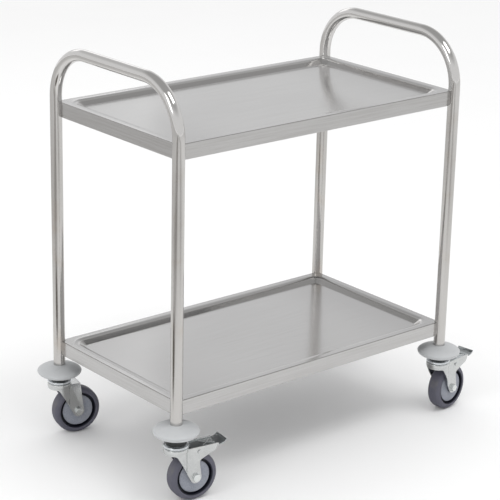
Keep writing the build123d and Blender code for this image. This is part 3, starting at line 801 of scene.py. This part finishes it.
# ---- Brake pedals ----
# Pressed plate between the cheeks of each front fork, with a cross of ribs, a turned-up tab for
# the toe and a rivet to turn on. A leaf spring lifts it off the tyre.
pedal_steel = Finish("pedal plate", Metallic=1.0)
place = pedal_steel.object_place()
rubbed = pedal_steel.noise(place, 70.0, 4.0, 0.6)
strokes = pedal_steel.noise(pedal_steel.stretched(place, (60.0, 420.0, 420.0)), 1.0, 3.0)
_, _, height = pedal_steel.parts(place)
_, _, upward = pedal_steel.parts(pedal_steel.facing())
rib_height = height.between(0.1159, 0.1169) * (1 - height.between(0.1174, 0.1178))
# Painted highlight: the tops of the ribs get a near-white colour, and are rougher.
painted_rib_highlight = rib_height * upward.between(0.96, 0.985)
plate = pedal_steel.mixed(rubbed, (0.40, 0.43, 0.44, 1), (0.56, 0.59, 0.60, 1))
pedal_steel.feed(pedal_steel.mixed(painted_rib_highlight, plate, (0.92, 0.94, 0.93, 1)), "Base Color")
pedal_steel.feed(0.06 + 0.08 * rubbed + 0.04 * strokes + 0.35 * painted_rib_highlight, "Roughness")
pedal_steel.feed(pedal_steel.bump(strokes, 0.06, 0.0001), "Normal")
for corner in BRAKED:
    pedal = broken_edges(
        f"{corner}_pedal_pressing",
        f"{corner}_brake_pedal",
        0.4 * MM,
        pedal_steel,
        f"{corner}_pedal",
    )
    dressed(zinc, f"{corner}_brake_pin")
    dressed(bolt_zinc, f"{corner}_brake_spring")


# ---- Wheels ----
# Grey rubber tyre on a dark moulded core, with a snapped-in dished cover on each side and the
# rim groove showing dark between cover and tyre, the tyre's edge beside it in painted shade. A
# hexagon bolt and nut hold it in the fork.
WHEEL_RADIUS = 52.0
TRAIL = 36.0
TYRE_HALF_WIDTH = 16.0
TYRE_SHOULDER = 9.5
SIDE_GROOVE = 0.4
RIM_RADIUS = 39.0
RIM_INNER_RADIUS = 30.0
RIM_HALF_WIDTH = 9.5
COVER_RADIUS = 34.2
WEB_HALF_WIDTH = 3.0
HUB_RADIUS = 12.0
HUB_HALF_WIDTH = 15.0
BUSH_RADIUS = 8.0


def wheel_axis(corner):
    """From the wheel's own frame, turned about Z, to its place: on the axle behind the leg."""
    heading = Matrix.Rotation(math.radians(HEADINGS[corner]), 4, "Z")
    axle = Matrix.Translation((TRAIL * MM, 0.0, WHEEL_RADIUS * MM))
    return leg_axis(corner) @ heading @ axle @ Matrix.Rotation(math.radians(90), 4, "X")


def both_faces(half):
    """Closed outline from the half on one side of the wheel and its mirror image."""
    return rounded(*half, *[(across, -up, *radius) for across, up, *radius in half[::-1]])


rubber = Finish("grey tyre rubber", Specular_IOR_Level=0.35)
place = rubber.own_place()
dust = rubber.noise(place, 34.0, 4.0, 0.6)
pores = rubber.noise(place, 1300.0, 2.0)
across, along, _ = rubber.parts(place)
radial = distance(across, along)
tread = radial.between((WHEEL_RADIUS - 2.0) * MM, (WHEEL_RADIUS - 0.2) * MM)
dark = rubber.mixed(dust, (0.078, 0.078, 0.104, 1), (0.115, 0.115, 0.145, 1))
dusty = rubber.mixed(tread * dust.between(0.45, 0.70) * 0.55, dark, (0.15, 0.145, 0.14, 1))
# Painted shade: the tyre's inner edge beside the rim groove is painted near-black.
painted_groove_shade = 1 - radial.between((RIM_RADIUS + 1.3) * MM, (RIM_RADIUS + 2.1) * MM)
rubber.feed(rubber.mixed(painted_groove_shade, dusty, (0.008, 0.009, 0.018, 1)), "Base Color")
rubber.feed(0.46 + 0.22 * (dust - 0.5) + 0.08 * tread, "Roughness")
rings = rubber.node("ShaderNodeMath", {"operation": "SINE"}, {0: radial * 7000.0})
rubber.feed(rubber.bump(0.8 * pores + 0.10 * rings, 0.16, 0.0002), "Normal")
tyre_outline = both_faces([
    (WHEEL_RADIUS - 0.18, 0.25, 0.1),
    (WHEEL_RADIUS, 0.45, 0.1),
    (WHEEL_RADIUS, TYRE_HALF_WIDTH, TYRE_SHOULDER),
    (43.8, TYRE_HALF_WIDTH, 0.2),
    (43.5, TYRE_HALF_WIDTH - SIDE_GROOVE, 0.2),
    (42.8, TYRE_HALF_WIDTH - SIDE_GROOVE, 0.2),
    (42.5, TYRE_HALF_WIDTH, 0.2),
    (41.5, TYRE_HALF_WIDTH, 1.5),
    (RIM_RADIUS, TYRE_HALF_WIDTH - 2.0, 0.2),
])

core_plastic = Finish("dark core plastic", Specular_IOR_Level=0.4)
place = core_plastic.own_place()
mottle = core_plastic.noise(place, 220.0, 3.0)
core_plastic.feed(
    core_plastic.mixed(mottle, (0.005, 0.006, 0.013, 1), (0.012, 0.014, 0.026, 1)), "Base Color"
)
core_plastic.feed(0.42 + 0.16 * (mottle - 0.5), "Roughness")
core_plastic.feed(core_plastic.bump(mottle, 0.1, 0.0002), "Normal")
core_outline = both_faces([
    (RIM_RADIUS - 0.03, 6.0, 0.2),
    (COVER_RADIUS + 0.1, 6.0, 0.5),
    (COVER_RADIUS + 0.1, RIM_HALF_WIDTH, 0.2),
    (RIM_INNER_RADIUS, RIM_HALF_WIDTH, 0.3),
    (RIM_INNER_RADIUS, WEB_HALF_WIDTH, 1.5),
    (HUB_RADIUS, WEB_HALF_WIDTH, 1.5),
    (HUB_RADIUS, HUB_HALF_WIDTH, 0.6),
    (BUSH_RADIUS + 0.02, HUB_HALF_WIDTH, 0.3),
])

cover_plastic = Finish("grey cover plastic", Specular_IOR_Level=0.5)
place = cover_plastic.own_place()
moulded = cover_plastic.noise(place, 420.0, 5.0, 0.7)
drift = cover_plastic.noise(place, 40.0, 3.0)
across, along, _ = cover_plastic.parts(place)
radial = distance(across, along)
tint = cover_plastic.mixed(drift, (0.18, 0.195, 0.235, 1), (0.27, 0.285, 0.33, 1))
rubbed = drift.between(0.5, 0.7) * radial.between(0.020, 0.032) * 0.35
speckled = cover_plastic.mixed(0.5 * moulded.between(0.42, 0.62), tint, (0.36, 0.375, 0.42, 1))
cover_plastic.feed(cover_plastic.mixed(rubbed, speckled, (0.36, 0.37, 0.41, 1)), "Base Color")
cover_plastic.feed(0.40 + 0.14 * (drift - 0.5), "Roughness")
spun = cover_plastic.node("ShaderNodeMath", {"operation": "SINE"}, {0: radial * 5200.0})
cover_plastic.feed(cover_plastic.bump(0.8 * moulded + 0.15 * spun, 0.12, 0.0002), "Normal")
cover_outline = rounded(
    (HUB_RADIUS + 0.1, 11.9),
    (RIM_INNER_RADIUS - 0.1, 11.04),
    (RIM_INNER_RADIUS - 0.1, RIM_HALF_WIDTH + 0.1),
    (COVER_RADIUS, RIM_HALF_WIDTH + 0.1),
    (COVER_RADIUS, 12.3, 0.9),
    (COVER_RADIUS - 2.0, 12.42, 0.3),
    (31.9, 12.15, 0.2),
    (31.3, 12.2, 0.2),
    (31.0, 12.5, 0.3),
    (17.4, 13.35, 0.3),
    (17.1, 13.1, 0.2),
    (16.6, 13.1, 0.2),
    (16.3, 13.45, 0.3),
    (HUB_RADIUS + 0.1, 13.7, 0.4),
)

bush_plastic = Finish("bush plastic", Specular_IOR_Level=0.4, Roughness=0.45)
speckle = bush_plastic.noise(bush_plastic.object_place(), 500.0)
bush_plastic.feed(
    bush_plastic.mixed(speckle, (0.50, 0.50, 0.46, 1), (0.60, 0.60, 0.56, 1)), "Base Color"
)

for corner in CORNERS:
    body = f"{corner}_wheel"
    place_on_axle = wheel_axis(corner)
    other_side = place_on_axle @ Matrix.Rotation(math.radians(180), 4, "X")
    tread_mesh = grid_mesh(f"{corner}_tyre_ring", turned(tyre_outline), matrix=place_on_axle)
    tyre = finished(f"{corner}_tyre_ring", tread_mesh, rubber, body, [f"{corner}_tyre"], 50.0, True)
    core_mesh = grid_mesh(f"{corner}_core", turned(core_outline), matrix=place_on_axle)
    core = finished(
        f"{corner}_core", core_mesh, core_plastic, body, [f"{corner}_wheel_core"], 40.0, True
    )
    discs = [
        grid_mesh(f"{corner}_cover", turned(cover_outline), matrix=side)
        for side in (place_on_axle, other_side)
    ]
    cover_mesh = joined(f"{corner}_cover_discs", discs)
    covers = finished(
        f"{corner}_cover_discs",
        cover_mesh,
        cover_plastic,
        body,
        [f"{corner}_hub_covers"],
        40.0,
        True,
    )
    dressed(bush_plastic, f"{corner}_wheel_bushes")
    dressed(bolt_zinc, f"{corner}_axle_sleeve")
    bolt = broken_edges(
        f"{corner}_axle_screw", f"{corner}_axle_bolt", 0.4 * MM, bolt_zinc, f"{corner}_swivel"
    )
